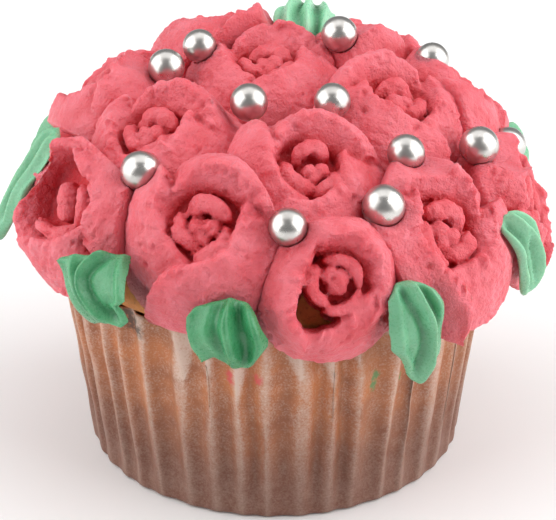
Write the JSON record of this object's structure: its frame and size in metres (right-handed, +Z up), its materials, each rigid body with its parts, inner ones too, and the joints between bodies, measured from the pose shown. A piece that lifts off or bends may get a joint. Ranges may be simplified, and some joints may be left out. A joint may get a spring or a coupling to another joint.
{
  "type": "cupcake",
  "caption": "Cupcake in a pleated paper baking case, its dome covered with piped buttercream roses, green icing leaves and silver sugar pearls.",
  "frame": {"origin": "middle of the paper case's flat underside, on the surface that the cupcake stands on", "axes": "+Z up out of the case, -Y towards the front that the picture shows, +X to the front's right"},
  "size_m": [0.0763, 0.0724, 0.0554],
  "materials": {
    "paper_case": "translucent greaseproof paper, matt",
    "sponge": "golden baked crust, matt",
    "rose_icing": "soft buttercream, slightly moist",
    "leaf_icing": "smooth buttercream, slightly shiny",
    "pearls": "silver sugar coat, polished"
  },
  "bodies": {
    "root": {"leaf_back": "leaf_icing", "leaf_back_left": "leaf_icing", "leaf_front": "leaf_icing", "leaf_front_left": "leaf_icing", "leaf_front_right": "leaf_icing", "leaf_left": "leaf_icing", "leaf_right": "leaf_icing", "leaf_right_back": "leaf_icing", "leaf_top_back": "leaf_icing", "paper_case": "paper_case", "pearl_01": "pearls", "pearl_02": "pearls", "pearl_03": "pearls", "pearl_04": "pearls", "pearl_05": "pearls", "pearl_06": "pearls", "pearl_07": "pearls", "pearl_08": "pearls", "pearl_09": "pearls", "pearl_10": "pearls", "pearl_11": "pearls", "pearl_12": "pearls", "pearl_13": "pearls", "pearl_14": "pearls", "pearl_15": "pearls", "rose_back": "rose_icing", "rose_back_left": "rose_icing", "rose_back_right": "rose_icing", "rose_far_left": "rose_icing", "rose_far_right": "rose_icing", "rose_front_left": "rose_icing", "rose_front_right": "rose_icing", "rose_left": "rose_icing", "rose_left_back": "rose_icing", "rose_middle": "rose_icing", "rose_right": "rose_icing", "rose_right_back": "rose_icing", "rose_top": "rose_icing", "rose_top_left_back": "rose_icing", "rose_top_right_back": "rose_icing", "rose_upper_left": "rose_icing", "rose_upper_right": "rose_icing", "sponge": "sponge"}
  },
  "joints": []
}
